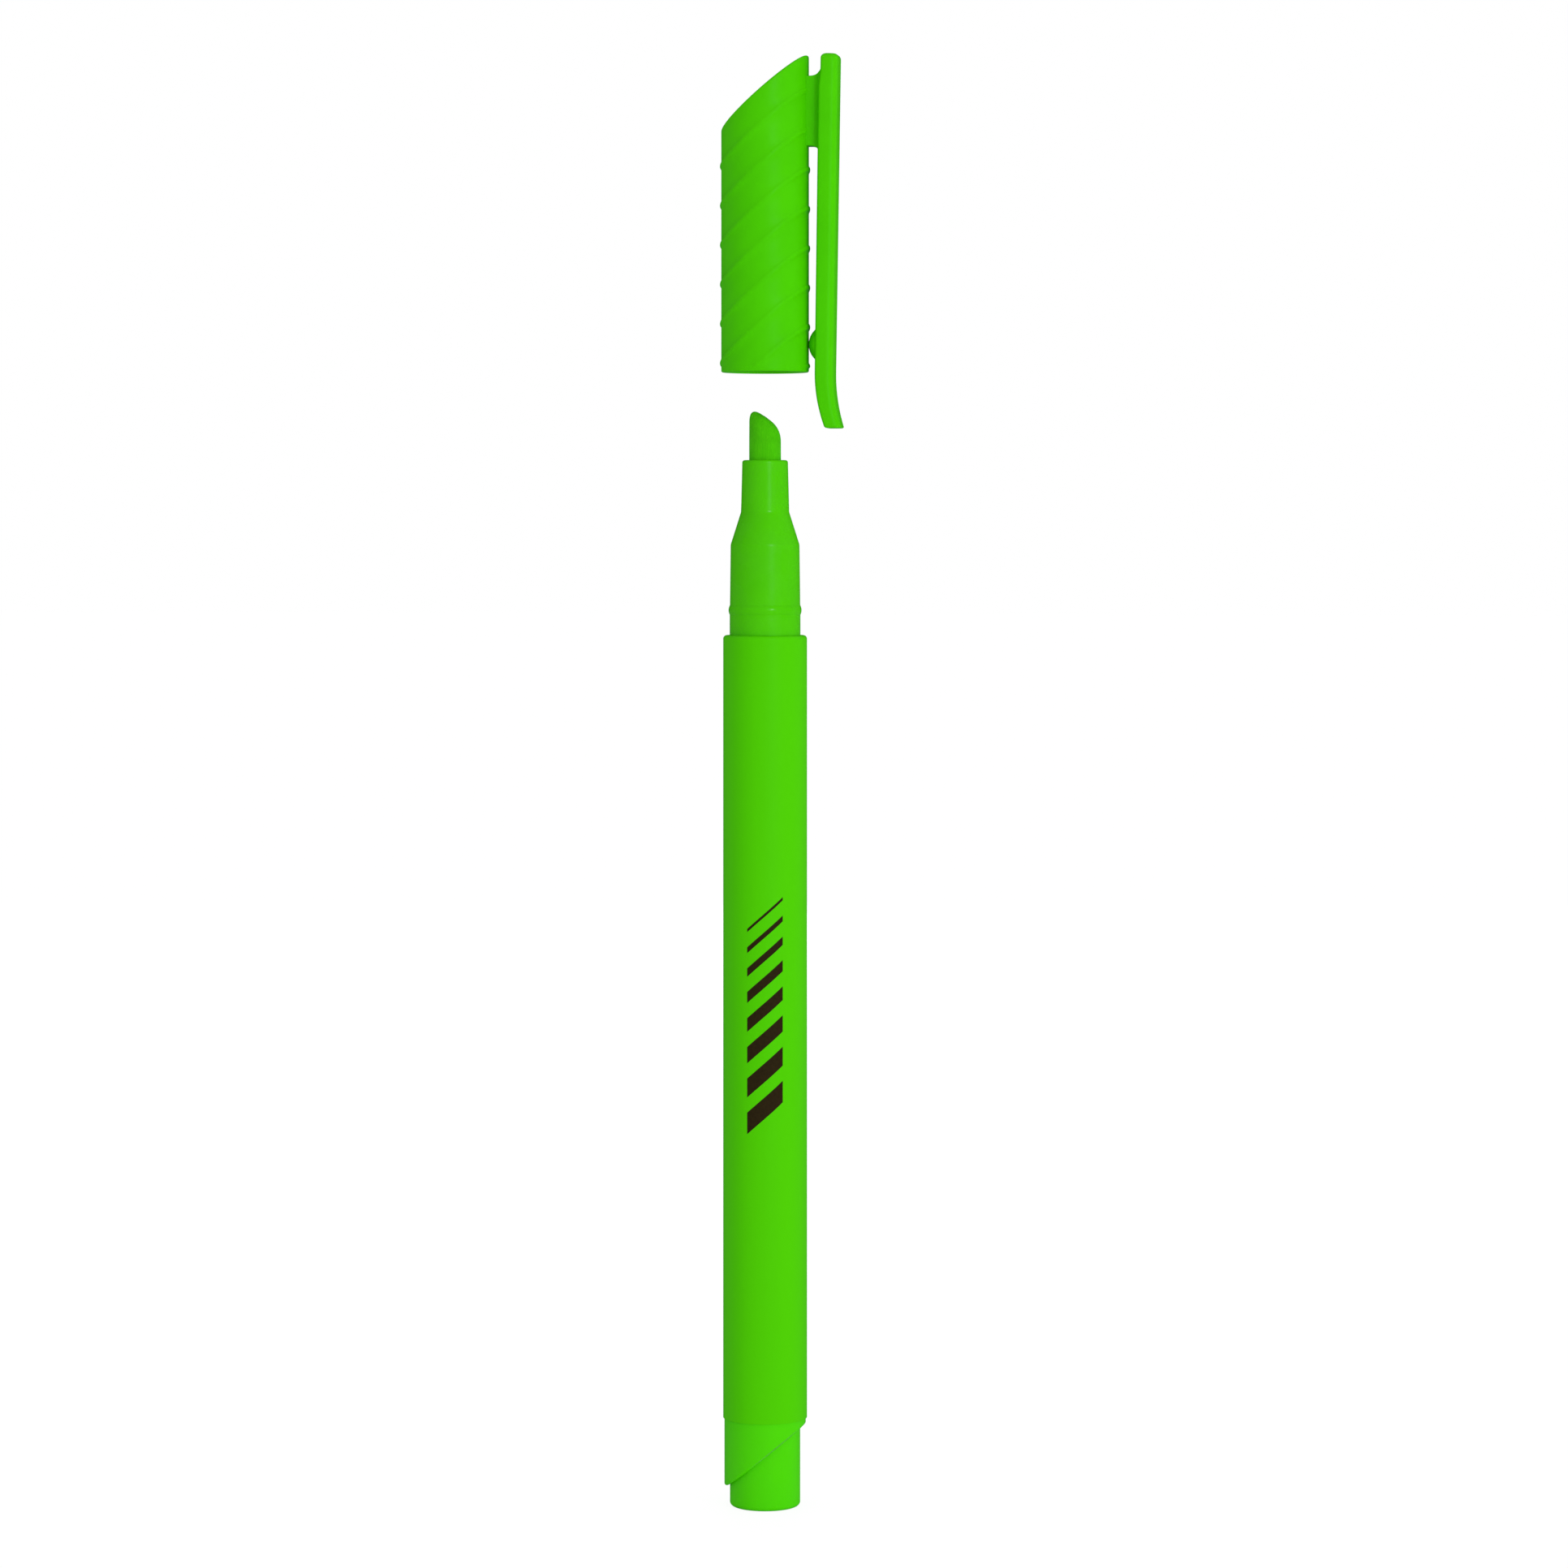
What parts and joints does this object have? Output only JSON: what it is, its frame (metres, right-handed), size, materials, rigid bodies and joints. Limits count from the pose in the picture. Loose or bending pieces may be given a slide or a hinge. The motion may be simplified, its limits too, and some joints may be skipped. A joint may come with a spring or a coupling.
{
  "type": "highlighter pen",
  "caption": "Pen-style chisel-tip highlighter, its ringed, clipped cap with a slanted top drawn straight off the nib; the tail end is stepped to take the cap.",
  "frame": {"origin": "centre of the flat end of the tail", "axes": "+Z along the pen from tail to nib, +X from the pen's axis to the pocket clip"},
  "size_m": [0.0152, 0.0112, 0.1786],
  "materials": {
    "barrel_plastic": "smooth extruded polypropylene in highlighter green",
    "plug_plastic": "smooth moulded polypropylene in highlighter green",
    "nose_plastic": "polished moulded polypropylene in highlighter green",
    "cap_plastic": "satin moulded polypropylene in highlighter green",
    "liner_plastic": "milky natural polyethylene",
    "nib_fibre": "bonded polyester fibre soaked with green ink",
    "ink_fibre": "fluffy polyester fibre soaked with green ink",
    "clear_film": "thin clear film"
  },
  "bodies": {
    "pen": {"barrel_tube": "barrel_plastic", "tail_plug": "plug_plastic", "reservoir_core": "ink_fibre", "reservoir_film": "clear_film", "nib": "nib_fibre", "nose_section": "nose_plastic"},
    "liner": {"cap_seal_liner": "liner_plastic"},
    "cap": {"cap_shell": "cap_plastic"},
    "clip": {"clip_arm": "cap_plastic"}
  },
  "joints": [
    {"name": "cap_pull", "type": "slide", "parent": "pen", "child": "liner", "axis": [0, 0, 1], "range_m": [-0.03235, 0]},
    {"name": "cap_turn", "type": "hinge", "parent": "liner", "child": "cap", "pos_m": [0, 0, 0.155], "axis": [0, 0, 1], "continuous": true},
    {"name": "clip_flex", "type": "hinge", "parent": "cap", "child": "clip", "pos_m": [0.00795, 0, 0.1662], "axis": [0, -1, 0], "range_deg": [0, 6], "stiffness_Nm_per_rad": 0.5}
  ]
}
